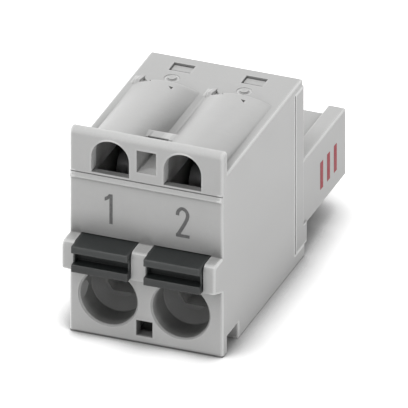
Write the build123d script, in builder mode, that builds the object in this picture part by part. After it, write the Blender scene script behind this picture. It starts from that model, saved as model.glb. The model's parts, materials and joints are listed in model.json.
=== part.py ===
"""Two pole plug connector for a circuit board header, with push-in clamps and release buttons.

All sizes are in millimetres. X runs along the row of poles, Y from the wire side to the
header side and Z up. The origin lies on the underside, in the middle of the whole outline.
A depth is a distance behind the front face, and at() turns it into a Y position.
"""
import math
import os

from build123d import *

os.makedirs("parts", exist_ok=True)

# The row of poles
pitch = 5.08
pole_count = 2
end_margin = 2.86

# Overall outline, as depths behind the front face and heights above the underside
deck_z = 13.36
deck_depth = 14.8
floor_reach = 0.37
bar_rise = 1.79
bar_thick = 0.85
bar_flat = 0.02
side_draft = 0.06
edge_round = 0.15

# Walls and clearances that several features share
slide_gap = 0.05
seat_gap = 0.05
parting_gap = 0.2
floor_thick = 0.91
deck_thick = 0.61
face_wall = 1.1
slot_width = 4.04
sink = 0.3

# Foot under the front, with a low groove behind it that is deeper at both sides
foot_thick = 0.82
groove_depth = 1.8
groove_height = 0.55
notch_width = 1.2
notch_depth = 2.9
notch_height = 1.2
foot_hole = 1.15
foot_hole_z = 1.115
foot_pocket = 1.5

# Ribs beside the buttons
rib_reach = 1.48
rib_drop = 0.07
rib_slope = 0.6
rib_round = 0.45

# Release buttons
button_reach = 2.02
button_bottom_z = 5.51
button_top_z = 7.45
guide_depth = 4.2
groove_bottom_z = 6.08
groove_top_z = 6.9
groove_cut = 0.9
lip_chamfer = 0.07
web_thick = 0.1
web_set_back = 0.4
stop_drop = 0.56
stop_rise = 0.55
stop_room = 0.2
stop_thick = 0.75
nose_reach = 1.75
nose_inset = 0.37
nose_width = 3.0
nose_round = 0.5

# Wire entries, a little to the left of each pole's middle, each with a slot behind it
entry_shift = -0.14
entry_z = 2.93
entry_radius = 2.0
entry_lip = 0.12
entry_straight = 0.8
bore_radius = 1.88
bore_depth = 1.79
dish_radius = 1.1
dish_depth = 2.4
wire_slot_drop = 0.71
wire_slot_sill = 1.38
wire_slot_slant = 0.13
wire_slot_width = 2.14
wire_slot_rise = 1.09

# Test openings in the bar and the domes behind them
arch_width = 2.64
arch_sill_drop = 1.22
arch_top_drop = 0.54
sill_depth = 0.52
channel_step = 0.15
channel_end_width = 2.4
probe_ledge = 0.4
dome_width = 4.52
dome_front_rise = 1.64
dome_rear_rise = 0.45
dome_wall = 0.5
dome_rear_wall = 0.94

# Bead across the front
bead_drop = 1.44
bead_height = 0.45
bead_slope = 0.22
bead_reach = 0.15
bead_groove = 0.08

# Window in the middle of the bar, with a pocket behind it and a tab over the pocket
window_width = 1.36
window_drop = 0.64
window_top_drop = 0.82
pocket_width = 1.56
pocket_sink = 0.12
tab_width = 2.2
tab_front = 2.3
tab_length = 0.9
tab_rise = 0.86
tab_thick = 0.45
tab_wall = 0.2

# Latch windows in the deck, and the latch arms of the carrier that snap into them
latch_width = 1.49
latch_length = 1.09
latch_ledge = 0.9
latch_shift = -0.06
latch_rear_gap = 0.1
latch_sink = 0.14
latch_lead = 0.35
latch_set_back = 2.27
arm_length = 2.2
arm_thick = 0.7
arm_room = 0.6

# Small marks of the mould on the deck
gusset_thick = 0.32
gusset_lead = 0.5
gusset_length = 1.0
gusset_height = 0.2
relief_bite = 0.24
relief_width = 0.9
relief_length = 0.76
relief_depth = 0.18
gate_shift = -0.18
gate_set_back = 1.26
gate_radius = 0.54
gate_sink = 0.04
nub_radius = 0.28
nub_rise = 0.08
dent_shift = 0.33
dent_width = 0.34
dent_length = 0.4
dent_rear_wall = 0.72
dent_sink = 0.25

# Clamp chamber behind the front wall
roof_drop = 1.81

# Header side of the contact carrier
flange_pocket = 1.5
flange_reach = 0.24
lip_reach = 0.55
tail_length = 7.92
tail_bottom_z = 2.1
core_top_z = 6.37
rail_top_z = 7.05
rail_thick = 1.24
tail_inset = 0.1
end_wall = 0.9
socket_width = 3.7
socket_bottom_z = 2.85
socket_top_z = 5.65
pin_hole = 1.35
pin_lead_in = 0.3
tray_depth = 4.8

# Metal parts
strip_width = 3.2
bar_strip_thick = 0.5
bar_strip_z = 1.3
bar_strip_depth = 5.0
riser_inset = 0.55
riser_room = 0.2
strip_bend = 0.6
tine_thick = 0.4
tine_spread = 1.25
pin_grip = 0.62
tine_mouth = 0.95
tine_lead = 1.16
tine_bend = 1.0
tine_room = 0.66
flare_length = 1.4
spring_thick = 0.35
loop_radius = 1.5
loop_room = 0.95
loop_angle = 200
hook_width = 2.2
hook_reach = 0.15
hook_bridge = 0.65
clip_thick = 0.2
clip_lead = 0.26
clip_bridge_length = 2.7

# Widths and places along the row, worked out from the sizes above
width = (pole_count - 1) * pitch + 2 * end_margin
half_width = width / 2
pole_x = [(i - (pole_count - 1) / 2) * pitch for i in range(pole_count)]
middle_gaps = [(a + b) / 2 for a, b in zip(pole_x[:-1], pole_x[1:])]
fit_width = slot_width - 2 * slide_gap

# Depths worked out from the sizes above
floor_depth = deck_depth + floor_reach
side_wall_depth = deck_depth - flange_pocket
flange_front = side_wall_depth + parting_gap
flange_depth = deck_depth + flange_reach
lip_depth = flange_depth + lip_reach
tail_depth = flange_depth + tail_length
arm_depth = flange_front - arm_length
rear_roof_depth = arm_depth - arm_room
latch_rear = deck_depth - latch_ledge
latch_front = latch_rear - latch_length
dome_depth = latch_front - latch_set_back
channel_depth = dome_depth - dome_rear_wall
tab_rear = tab_front + tab_length
nose_depth = guide_depth + nose_reach
riser_depth = side_wall_depth - riser_inset
loop_depth = nose_depth + loop_room
tine_straight = flange_depth + tine_lead
tine_end_depth = tail_depth - end_wall - tine_room
grip_depth = tine_end_depth - flare_length
clip_front = flange_depth + clip_lead
clip_bridge_rear = clip_front + clip_bridge_length
front_y = (button_reach - tail_depth) / 2

# Heights worked out from the sizes above
bar_top_z = deck_z + bar_rise
bar_round = (bar_thick - bar_flat) / 2
arch_sill_z = deck_z - arch_sill_drop
arch_top_z = bar_top_z - arch_top_drop
window_bottom_z = deck_z - window_drop
window_top_z = bar_top_z - window_top_drop
pocket_floor_z = window_bottom_z - pocket_sink
tab_top_z = deck_z + tab_rise
bead_top_z = deck_z - bead_drop
bead_bottom_z = bead_top_z - bead_height
flange_bottom_z = floor_thick
flange_top_z = deck_z - deck_thick
latch_nose_z = deck_z - latch_sink
chamber_roof_z = deck_z - roof_drop
rib_bottom_z = button_bottom_z - rib_drop
rib_root_z = rib_bottom_z - rib_slope
slot_bottom_z = button_bottom_z - slide_gap
slot_top_z = button_top_z + slide_gap
stop_bottom_z = button_bottom_z - stop_drop
stop_top_z = button_top_z + stop_rise
chamber_shelf_z = stop_top_z + stop_room
nose_bottom_z = button_bottom_z + nose_inset
nose_top_z = button_top_z - nose_inset
riser_top_z = chamber_roof_z - riser_room
loop_z = riser_top_z - hook_bridge - loop_radius
clip_top_z = socket_top_z - seat_gap
tine_top_z = clip_top_z - clip_thick - seat_gap
tine_bottom_z = socket_bottom_z + 2 * seat_gap
clip_bottom_z = tine_bottom_z + seat_gap


def at(depth):
    """Y position of a depth behind the front face."""
    return front_y + depth


def facing(depth):
    """Plane parallel to the front face, with X to the right and Z up, at a depth."""
    return Plane.XZ.offset(-at(depth))


def side_x(depth):
    """Distance of the moulded side from the middle, which the draft makes less at the rear."""
    return half_width - side_draft * (depth + rib_reach) / (deck_depth + rib_reach)


def dome_crest(depth):
    """Height of a dome's crest at a depth."""
    fall = (dome_front_rise - dome_rear_rise) / (dome_depth - bar_thick / 2)
    return deck_z + dome_front_rise - fall * (depth - bar_thick / 2)


# Housing: one moulding, open at the rear, that holds the clamps and guides the buttons
with BuildPart() as housing:
    # Foot, groove, floor, deck and marker bar in one side profile
    with BuildSketch(Plane.YZ) as outline:
        with BuildLine():
            Polyline(
                (at(0), 0),
                (at(foot_thick), 0),
                (at(foot_thick), groove_height),
                (at(groove_depth), groove_height),
                (at(groove_depth), 0),
                (at(floor_depth), 0),
                (at(floor_depth), floor_thick),
                (at(deck_depth), floor_thick),
                (at(deck_depth), deck_z),
                (at(bar_thick), deck_z),
                (at(bar_thick), bar_top_z),
                (at(0), bar_top_z),
                close=True,
            )
        make_face()
        fillet(outline.vertices().group_by(Axis.Y)[-1], radius=bar_round)
    extrude(amount=half_width, both=True)

    # Notches at both ends of the groove
    for side in (-1, 1):
        with BuildSketch(Plane.YZ.offset(side * (half_width - notch_width / 2))):
            with Locations((at((foot_thick + notch_depth) / 2), 0)):
                Rectangle(notch_depth - foot_thick, 2 * notch_height)
        extrude(amount=notch_width / 2, both=True, mode=Mode.SUBTRACT)

    # Block for the ribs beside the buttons, with a rounded top and a sloping underside
    with BuildSketch(Plane.YZ) as rib:
        with BuildLine():
            Polyline(
                (at(sink), button_top_z),
                (at(-rib_reach), button_top_z),
                (at(-rib_reach), rib_bottom_z),
                (at(0), rib_root_z),
                (at(sink), rib_root_z),
                close=True,
            )
        make_face()
        fillet(rib.vertices().group_by(Axis.X)[0].sort_by(Axis.Y)[-1], radius=rib_round)
    extrude(amount=half_width, both=True)

    # Draft of the two sides
    with BuildSketch(Plane.XY):
        with BuildLine():
            Polyline(
                (-side_x(-rib_reach), at(-rib_reach)),
                (side_x(-rib_reach), at(-rib_reach)),
                (side_x(floor_depth), at(floor_depth)),
                (-side_x(floor_depth), at(floor_depth)),
                close=True,
            )
        make_face()
    extrude(amount=bar_top_z, mode=Mode.INTERSECT)

    # Soft edges round both sides and at the rear of the deck
    sides = housing.faces().sort_by(Axis.X)[0].edges() + housing.faces().sort_by(Axis.X)[-1].edges()
    cross_edges = housing.edges().filter_by(Axis.X)
    deck_edge = cross_edges.filter_by_position(Axis.Z, deck_z - sink, deck_z + sink).sort_by(Axis.Y)[-1:]
    fillet(set(sides + deck_edge), radius=edge_round)

    # Slots that part the block into ribs
    for x in pole_x:
        with BuildSketch(Plane.XY.offset(rib_root_z - sink)):
            with Locations((x, at(-(rib_reach + sink) / 2))):
                Rectangle(slot_width, rib_reach + sink)
        extrude(amount=button_top_z - rib_root_z + 2 * sink, mode=Mode.SUBTRACT)

    # Two domes on the deck, each falling towards the rear
    for x in pole_x:
        for depth, rise in ((bar_thick / 2, dome_front_rise), (dome_depth, dome_rear_rise)):
            with BuildSketch(facing(depth)):
                with BuildLine():
                    ThreePointArc(
                        (x - dome_width / 2, deck_z),
                        (x, deck_z + rise),
                        (x + dome_width / 2, deck_z),
                    )
                    Polyline(
                        (x + dome_width / 2, deck_z),
                        (x + dome_width / 2, deck_z - sink),
                        (x - dome_width / 2, deck_z - sink),
                        (x - dome_width / 2, deck_z),
                    )
                make_face()
        loft(ruled=True)

    # Tab that bridges the domes behind the bar
    for x in middle_gaps:
        with BuildSketch(Plane.XY.offset(deck_z - sink)):
            with Locations((x, at((tab_front + tab_rear) / 2))):
                Rectangle(tab_width, tab_length)
        extrude(amount=tab_rise + sink)

    # Bead across the front, sloping at the top, with a fine groove over it
    with BuildSketch(Plane.YZ):
        with BuildLine():
            Polyline(
                (at(sink), bead_bottom_z),
                (at(0), bead_bottom_z),
                (at(-bead_reach), bead_bottom_z + bead_reach),
                (at(-bead_reach), bead_top_z - bead_slope),
                (at(0), bead_top_z),
                (at(sink), bead_top_z),
                close=True,
            )
        make_face()
    extrude(amount=half_width - edge_round / 2, both=True)
    with BuildSketch(Plane.YZ):
        with Locations((at(0), bead_top_z + bead_groove / 2)):
            Rectangle(2 * bead_groove, bead_groove)
    extrude(amount=half_width, both=True, mode=Mode.SUBTRACT)

    # Clamp chambers, open to the rear
    for x in pole_x:
        with BuildSketch(Plane.YZ.offset(x)):
            with BuildLine():
                Polyline(
                    (at(guide_depth), floor_thick),
                    (at(floor_depth + sink), floor_thick),
                    (at(floor_depth + sink), flange_top_z),
                    (at(rear_roof_depth), flange_top_z),
                    (at(rear_roof_depth), chamber_roof_z),
                    (at(face_wall), chamber_roof_z),
                    (at(face_wall), chamber_shelf_z),
                    (at(guide_depth), chamber_shelf_z),
                    close=True,
                )
            make_face()
        extrude(amount=slot_width / 2, both=True, mode=Mode.SUBTRACT)

    # Seat of the carrier's flange, between the floor and the deck
    with BuildSketch(Plane.XY.offset(flange_bottom_z)):
        with Locations((0, at((side_wall_depth + floor_depth + sink) / 2))):
            Rectangle(width + 2 * sink, floor_depth + sink - side_wall_depth)
    extrude(amount=flange_top_z - flange_bottom_z, mode=Mode.SUBTRACT)

    # Guides of the buttons
    for x in pole_x:
        with BuildSketch(facing(-sink)):
            with Locations((x, (slot_bottom_z + slot_top_z) / 2)):
                Rectangle(slot_width, slot_top_z - slot_bottom_z)
        extrude(amount=-(guide_depth + 2 * sink), mode=Mode.SUBTRACT)

    # Wire entries: a chamfered mouth, a straight bore that narrows, and a dish
    for x in pole_x:
        entry_x = x + entry_shift
        with BuildSketch(Plane.YZ.offset(entry_x)):
            with BuildLine():
                Polyline(
                    (at(0), entry_z + entry_radius + entry_lip),
                    (at(entry_lip), entry_z + entry_radius),
                    (at(entry_straight), entry_z + entry_radius),
                    (at(bore_depth), entry_z + bore_radius),
                    (at(dish_depth), entry_z + dish_radius),
                    (at(dish_depth), entry_z),
                    (at(-sink), entry_z),
                    (at(-sink), entry_z + entry_radius + entry_lip),
                    close=True,
                )
            make_face()
        revolve(axis=Axis((entry_x, 0, entry_z), (0, 1, 0)), mode=Mode.SUBTRACT)

        # Slot from the dish into the chamber, at the pole's middle, with slanted lower corners
        with BuildSketch(facing(bore_depth)):
            with BuildLine():
                Polyline(
                    (x - wire_slot_sill / 2, entry_z - wire_slot_drop),
                    (x + wire_slot_sill / 2, entry_z - wire_slot_drop),
                    (x + wire_slot_width / 2, entry_z - wire_slot_slant),
                    (x + wire_slot_width / 2, entry_z + wire_slot_rise),
                    (x - wire_slot_width / 2, entry_z + wire_slot_rise),
                    (x - wire_slot_width / 2, entry_z - wire_slot_slant),
                    close=True,
                )
            make_face()
        extrude(amount=-(guide_depth + sink - bore_depth), mode=Mode.SUBTRACT)

    # Test channels: an arch through the bar, then a wider one that falls with the dome
    for x in pole_x:
        inner_width = arch_width + 2 * channel_step
        arch = (arch_width, arch_top_z)
        wide_arch = (inner_width, arch_top_z)
        end_arch = (channel_end_width, dome_crest(channel_depth) - dome_wall)
        for front, rear, first, last in (
            (-sink, bar_thick, arch, arch),
            (bar_thick, channel_depth, wide_arch, end_arch),
        ):
            for depth, (span, top_z) in ((front, first), (rear, last)):
                with BuildSketch(facing(depth)):
                    with BuildLine():
                        spring_z = top_z - span / 2
                        ThreePointArc((x - span / 2, spring_z), (x, top_z), (x + span / 2, spring_z))
                        Polyline(
                            (x + span / 2, spring_z),
                            (x + span / 2, arch_sill_z),
                            (x - span / 2, arch_sill_z),
                            (x - span / 2, spring_z),
                        )
                    make_face()
            loft(ruled=True, mode=Mode.SUBTRACT)

        # Opening from the channel down into the chamber, behind a sloping sill
        with BuildSketch(Plane.YZ.offset(x)):
            with BuildLine():
                Polyline(
                    (at(sill_depth), arch_sill_z),
                    (at(channel_depth - probe_ledge), arch_sill_z),
                    (at(channel_depth - probe_ledge), chamber_roof_z),
                    (at(face_wall), chamber_roof_z),
                    close=True,
                )
            make_face()
        extrude(amount=inner_width / 2, both=True, mode=Mode.SUBTRACT)

    # Window in the bar and the pocket behind it, under the tab
    for x in middle_gaps:
        with BuildSketch(facing(-sink)):
            with Locations((x, (window_bottom_z + window_top_z) / 2)):
                Rectangle(window_width, window_top_z - window_bottom_z)
        extrude(amount=-(sink + bar_thick + sink), mode=Mode.SUBTRACT)
        with BuildSketch(Plane.YZ.offset(x)):
            with BuildLine():
                Polyline(
                    (at(bar_thick), pocket_floor_z),
                    (at(tab_rear - tab_wall), pocket_floor_z),
                    (at(tab_rear - tab_wall), tab_top_z - tab_thick),
                    (at(tab_front), tab_top_z - tab_thick),
                    (at(tab_front), bar_top_z),
                    (at(bar_thick), bar_top_z),
                    close=True,
                )
            make_face()
        extrude(amount=pocket_width / 2, both=True, mode=Mode.SUBTRACT)

    # Square hole in the foot, with a wider pocket behind it that runs into the groove
    for x in middle_gaps:
        with BuildSketch(facing(0)):
            with Locations((x + entry_shift, foot_hole_z)):
                Rectangle(foot_hole, foot_hole)
        extrude(amount=-foot_thick, mode=Mode.SUBTRACT)
        pocket_top_z = foot_hole_z + foot_hole / 2
        with BuildSketch(facing(foot_thick)):
            with Locations((x + entry_shift, pocket_top_z / 2)):
                Rectangle(foot_pocket, pocket_top_z)
        extrude(amount=foot_thick - groove_depth, mode=Mode.SUBTRACT)

    # Latch windows in the deck
    for x in pole_x:
        with BuildSketch(Plane.XY.offset(flange_top_z - sink)):
            with Locations((x + latch_shift, at((latch_front + latch_rear) / 2))):
                Rectangle(latch_width, latch_length)
        extrude(amount=deck_thick + 2 * sink, mode=Mode.SUBTRACT)

    # Marks of the mould at each dome's rear: a gusset, a relief, a gate nub in its dimple and a dent
    for x in pole_x:
        dome_left = x - dome_width / 2
        relief_left = dome_left + gusset_thick
        gate_place = (x + gate_shift, at(dome_depth + gate_set_back))
        dent_left = x + dent_shift
        dent_rear = dome_depth - dent_rear_wall
        with BuildSketch(Plane.YZ.offset(dome_left)):
            with BuildLine():
                Polyline(
                    (at(dome_depth - gusset_lead), deck_z - sink),
                    (at(dome_depth + gusset_length), deck_z - sink),
                    (at(dome_depth + gusset_length), deck_z),
                    (at(dome_depth), deck_z + gusset_height),
                    (at(dome_depth - gusset_lead), deck_z),
                    close=True,
                )
            make_face()
        extrude(amount=gusset_thick)
        with BuildSketch(Plane.XY.offset(deck_z - relief_depth)):
            with BuildLine():
                Polyline(
                    (relief_left, at(dome_depth - relief_bite)),
                    (relief_left + relief_width, at(dome_depth - relief_bite)),
                    (relief_left, at(dome_depth + relief_length)),
                    close=True,
                )
            make_face()
        extrude(amount=relief_depth + dome_rear_rise, mode=Mode.SUBTRACT)
        with BuildSketch(Plane.XY.offset(deck_z - gate_sink)):
            with Locations(gate_place):
                Circle(gate_radius)
        extrude(amount=gate_sink + sink, mode=Mode.SUBTRACT)
        with BuildSketch(Plane.XY.offset(deck_z - sink)):
            with Locations(gate_place):
                Circle(nub_radius)
        extrude(amount=sink + nub_rise)
        with BuildSketch(Plane.XY.offset(dome_crest(dent_rear) - dent_sink)):
            with BuildLine():
                Polyline(
                    (dent_left, at(dent_rear)),
                    (dent_left + dent_width, at(dent_rear)),
                    (dent_left + dent_width, at(dent_rear - dent_length)),
                    close=True,
                )
            make_face()
        extrude(amount=dent_sink + sink, mode=Mode.SUBTRACT)

housing.part.label = "housing"
export_step(housing.part, "parts/housing.step")


# Contact carrier: closes the housing at the rear and ends in the tail that enters the header
with BuildPart() as contact_carrier:
    # Tail: a core between two guide rails
    tail_half = side_x(flange_depth) - tail_inset
    with BuildSketch(facing(flange_depth - sink)):
        with BuildLine():
            Polyline(
                (-tail_half, tail_bottom_z),
                (tail_half, tail_bottom_z),
                (tail_half, rail_top_z),
                (tail_half - rail_thick, rail_top_z),
                (tail_half - rail_thick, core_top_z),
                (-tail_half + rail_thick, core_top_z),
                (-tail_half + rail_thick, rail_top_z),
                (-tail_half, rail_top_z),
                close=True,
            )
        make_face()
    extrude(amount=-(tail_length + sink))
    tail_end = contact_carrier.faces().sort_by(Axis.Y)[-1]
    fillet(set(tail_end.edges() + contact_carrier.edges().filter_by(Axis.Y)), radius=edge_round)

    # Flange, flush with the housing's sides, and the lip under the tail
    for front, rear, low, high in (
        (flange_front, flange_depth, flange_bottom_z, flange_top_z),
        (flange_depth - sink, lip_depth, flange_bottom_z, tail_bottom_z + sink),
    ):
        with BuildSketch(Plane.XY.offset(low)) as plate:
            with BuildLine():
                Polyline(
                    (-side_x(front), at(front)),
                    (side_x(front), at(front)),
                    (side_x(rear), at(rear)),
                    (-side_x(rear), at(rear)),
                    close=True,
                )
            make_face()
            fillet(plate.vertices().group_by(Axis.Y)[-1], radius=edge_round)
        extrude(amount=high - low)

    # Sockets for the contacts, open to the chambers, with a square hole for each header pin
    for x in pole_x:
        socket_mid_z = (socket_bottom_z + socket_top_z) / 2
        with BuildSketch(facing(flange_front)):
            with Locations((x, socket_mid_z)):
                Rectangle(socket_width, socket_top_z - socket_bottom_z)
        extrude(amount=-(tail_depth - end_wall - flange_front), mode=Mode.SUBTRACT)
        with BuildSketch(facing(tail_depth - end_wall - sink)):
            with Locations((x, socket_mid_z)):
                Rectangle(pin_hole, pin_hole)
        extrude(amount=-(end_wall + 2 * sink), mode=Mode.SUBTRACT)
        for depth, size in ((tail_depth - pin_lead_in, pin_hole), (tail_depth, pin_hole + 2 * pin_lead_in)):
            with BuildSketch(facing(depth)):
                with Locations((x, socket_mid_z)):
                    Rectangle(size, size)
        loft(ruled=True, mode=Mode.SUBTRACT)

    # Trays under the contacts, and latch arms whose noses snap into the deck's windows
    for x in pole_x:
        with BuildSketch(Plane.XY.offset(flange_bottom_z)):
            with Locations((x, at((tray_depth + flange_front + sink) / 2))):
                Rectangle(fit_width, flange_front + sink - tray_depth)
        extrude(amount=bar_strip_z - seat_gap - flange_bottom_z)
        with BuildSketch(Plane.YZ.offset(x + latch_shift)):
            with BuildLine():
                Polyline(
                    (at(arm_depth), flange_top_z - arm_thick),
                    (at(latch_rear - latch_rear_gap), flange_top_z - arm_thick),
                    (at(latch_rear - latch_rear_gap), latch_nose_z),
                    (at(latch_front + latch_lead), latch_nose_z),
                    (at(latch_front + slide_gap), flange_top_z),
                    (at(arm_depth), flange_top_z),
                    close=True,
                )
            make_face()
        extrude(amount=latch_width / 2 - slide_gap, both=True)

contact_carrier.part.label = "contact_carrier"
export_step(contact_carrier.part, "parts/contact_carrier.step")


# Release buttons: a head with a groove for a screwdriver, a guided body, a stop and a nose
for number, x in enumerate(pole_x, start=1):
    with BuildPart() as release_button:
        with BuildSketch(Plane.YZ.offset(x)) as head:
            with BuildLine():
                Polyline(
                    (at(-button_reach), button_bottom_z),
                    (at(-button_reach), groove_bottom_z),
                    (at(-button_reach + groove_cut), groove_bottom_z),
                    (at(-button_reach + groove_cut), groove_top_z),
                    (at(-button_reach), groove_top_z),
                    (at(-button_reach), button_top_z),
                    (at(guide_depth + seat_gap), button_top_z),
                    (at(guide_depth + seat_gap), button_bottom_z),
                    close=True,
                )
            make_face()
            chamfer(head.vertices().group_by(Axis.X)[0], length=lip_chamfer)
        extrude(amount=fit_width / 2, both=True)

        # Thin webs that close the groove at both ends
        for side in (-1, 1):
            with BuildSketch(facing(-button_reach + web_set_back)):
                with Locations((x + side * (fit_width - web_thick) / 2, (groove_bottom_z + groove_top_z) / 2)):
                    Rectangle(web_thick, groove_top_z - groove_bottom_z)
            extrude(amount=-(groove_cut - web_set_back))

        # Stop behind the front wall, and the nose that pushes the spring
        with BuildSketch(facing(guide_depth + seat_gap)):
            with Locations((x, (stop_bottom_z + stop_top_z) / 2)):
                Rectangle(fit_width, stop_top_z - stop_bottom_z)
        extrude(amount=-stop_thick)
        with BuildSketch(Plane.YZ.offset(x)) as nose:
            with Locations((at((guide_depth + nose_depth) / 2), (nose_bottom_z + nose_top_z) / 2)):
                Rectangle(nose_depth - guide_depth, nose_top_z - nose_bottom_z)
            fillet(nose.vertices().group_by(Axis.X)[-1], radius=nose_round)
        extrude(amount=nose_width / 2, both=True)
    release_button.part.label = f"release_button_{number}"
    export_step(release_button.part, f"parts/release_button_{number}.step")


# Contacts: a bent strip under the wire, a riser that holds the spring, and two tines in the socket
for number, x in enumerate(pole_x, start=1):
    with BuildPart() as contact:
        strip_mid_z = bar_strip_z + bar_strip_thick / 2
        riser_mid = riser_depth + bar_strip_thick / 2
        with BuildSketch(Plane.YZ.offset(x)):
            with BuildLine():
                FilletPolyline(
                    (at(bar_strip_depth), strip_mid_z),
                    (at(riser_mid), strip_mid_z),
                    (at(riser_mid), riser_top_z),
                    radius=strip_bend,
                )
            trace(line_width=bar_strip_thick)
        extrude(amount=strip_width / 2, both=True)

        # Window between the tines, and the slot that takes the end of the spring
        with BuildSketch(facing(riser_depth - sink)):
            with Locations((x, (tine_bottom_z + tine_top_z) / 2)):
                Rectangle(2 * tine_spread - tine_thick, tine_top_z - tine_bottom_z)
            with Locations((x, loop_z + loop_radius)):
                Rectangle(hook_width + 2 * seat_gap, spring_thick + 2 * seat_gap)
        extrude(amount=-(bar_strip_thick + 2 * sink), mode=Mode.SUBTRACT)

        # Tines, folded back from the riser, that close in on the pin and open at the mouth
        for side in (-1, 1):
            with BuildSketch(Plane.XY.offset(tine_bottom_z)):
                with BuildLine():
                    FilletPolyline(
                        (x + side * tine_spread, at(riser_mid)),
                        (x + side * tine_spread, at(tine_straight)),
                        (x + side * pin_grip, at(grip_depth)),
                        (x + side * tine_mouth, at(tine_end_depth)),
                        radius=tine_bend,
                    )
                trace(line_width=tine_thick)
            extrude(amount=tine_top_z - tine_bottom_z)
    contact.part.label = f"contact_{number}"
    export_step(contact.part, f"parts/contact_{number}.step")


# Clamp springs: a back leg hooked in the riser, a loop, and a leg that presses on the strip
for number, x in enumerate(pole_x, start=1):
    with BuildPart() as clamp_spring:
        start = Vector(at(loop_depth), loop_z + loop_radius)
        leg_root = Vector(
            at(loop_depth) + loop_radius * math.cos(math.radians(loop_angle)),
            loop_z + loop_radius * math.sin(math.radians(loop_angle)),
        )
        leg_way = Vector(-math.sin(math.radians(loop_angle)), math.cos(math.radians(loop_angle)))
        tip_z = bar_strip_z + bar_strip_thick + seat_gap + spring_thick * leg_way.X / 2
        leg_length = (tip_z - leg_root.Y) / leg_way.Y
        with BuildSketch(Plane.YZ.offset(x)):
            with BuildLine():
                Line((at(riser_depth - seat_gap), loop_z + loop_radius), start)
                CenterArc((at(loop_depth), loop_z), loop_radius, 90, loop_angle - 90)
                Line(leg_root, leg_root + leg_way * leg_length)
            trace(line_width=spring_thick)
        extrude(amount=strip_width / 2, both=True)
        with BuildSketch(facing(riser_depth - sink)):
            with Locations((x, loop_z + loop_radius)):
                Rectangle(hook_width, spring_thick)
        extrude(amount=-(sink + bar_strip_thick + hook_reach))
    clamp_spring.part.label = f"clamp_spring_{number}"
    export_step(clamp_spring.part, f"parts/clamp_spring_{number}.step")


# Over springs: a steel clip over each pair of tines that keeps their grip
for number, x in enumerate(pole_x, start=1):
    with BuildPart() as over_spring:
        clip_offset = tine_thick / 2 + seat_gap + clip_thick / 2
        for side in (-1, 1):
            with BuildSketch(Plane.XY.offset(clip_bottom_z)):
                with BuildLine():
                    FilletPolyline(
                        (x + side * (tine_spread + clip_offset), at(clip_front)),
                        (x + side * (tine_spread + clip_offset), at(tine_straight)),
                        (x + side * (pin_grip + clip_offset), at(grip_depth)),
                        radius=tine_bend,
                    )
                trace(line_width=clip_thick)
            extrude(amount=clip_top_z - clip_bottom_z)
        with BuildSketch(Plane.XY.offset(clip_top_z - clip_thick)):
            with Locations((x, at((clip_front + clip_bridge_rear) / 2))):
                Rectangle(2 * (tine_spread + clip_offset), clip_bridge_rear - clip_front)
        extrude(amount=clip_thick)
    over_spring.part.label = f"over_spring_{number}"
    export_step(over_spring.part, f"parts/over_spring_{number}.step")
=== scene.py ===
# %% [markdown]
# # Dressing a plug connector
# The connector is a small light grey moulding with two wire entries, two dark
# buttons and a tail at the back. The solids come from the drawing with their
# real sizes, so this lesson adds what the drawing can't hold: the skin of the
# plastic, the plating of the metal, the printing, the light and the view.

# %% Load the part as a fixed frame
import json
import math

import bmesh
import bpy
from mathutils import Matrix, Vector

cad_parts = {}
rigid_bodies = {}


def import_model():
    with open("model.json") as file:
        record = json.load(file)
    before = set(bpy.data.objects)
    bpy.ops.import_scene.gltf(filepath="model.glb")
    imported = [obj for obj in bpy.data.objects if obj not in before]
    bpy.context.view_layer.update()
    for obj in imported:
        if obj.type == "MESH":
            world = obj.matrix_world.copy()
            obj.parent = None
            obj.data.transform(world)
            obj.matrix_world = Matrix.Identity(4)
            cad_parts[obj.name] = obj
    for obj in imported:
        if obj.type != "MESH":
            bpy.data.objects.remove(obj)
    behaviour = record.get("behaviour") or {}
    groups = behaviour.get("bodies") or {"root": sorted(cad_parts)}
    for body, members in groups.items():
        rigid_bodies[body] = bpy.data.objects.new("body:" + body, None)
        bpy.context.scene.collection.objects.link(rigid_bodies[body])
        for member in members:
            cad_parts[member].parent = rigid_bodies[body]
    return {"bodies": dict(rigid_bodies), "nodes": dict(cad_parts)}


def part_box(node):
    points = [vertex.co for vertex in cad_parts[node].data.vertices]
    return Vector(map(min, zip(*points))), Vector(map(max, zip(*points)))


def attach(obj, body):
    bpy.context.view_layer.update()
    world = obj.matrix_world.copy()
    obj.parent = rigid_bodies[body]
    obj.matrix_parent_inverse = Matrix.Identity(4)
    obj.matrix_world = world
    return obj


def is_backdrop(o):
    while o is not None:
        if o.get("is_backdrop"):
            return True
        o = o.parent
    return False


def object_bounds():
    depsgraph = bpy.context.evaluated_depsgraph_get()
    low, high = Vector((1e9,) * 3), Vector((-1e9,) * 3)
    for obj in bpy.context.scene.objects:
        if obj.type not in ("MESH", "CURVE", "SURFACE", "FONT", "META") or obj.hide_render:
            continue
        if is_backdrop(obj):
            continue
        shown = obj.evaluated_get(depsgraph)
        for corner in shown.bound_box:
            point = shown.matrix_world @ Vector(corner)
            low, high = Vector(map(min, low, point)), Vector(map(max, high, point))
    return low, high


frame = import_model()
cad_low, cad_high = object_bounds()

MM = 0.001
print("pieces from the drawing:", sorted(frame["nodes"]))
print("size in mm:", [round(v / MM, 2) for v in cad_high - cad_low])

# %% [markdown]
# ## The view
# The photograph was taken from so far away that parallel edges stay parallel.
# A camera of the orthographic kind does the same. It could also be a very long
# lens, but then the near end would still come out a little larger.

# %% Set up the view
PICTURE_PIXELS = 408
PIXELS_PER_MM = 15.24
VIEW_AZIMUTH = 20.98
VIEW_ELEVATION = 28.5
VIEW_WIDTH = PICTURE_PIXELS / PIXELS_PER_MM * MM
VIEW_CENTRE = Vector((0.04, 0.0, 5.17)) * MM
VIEW_DISTANCE = 0.3


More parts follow.
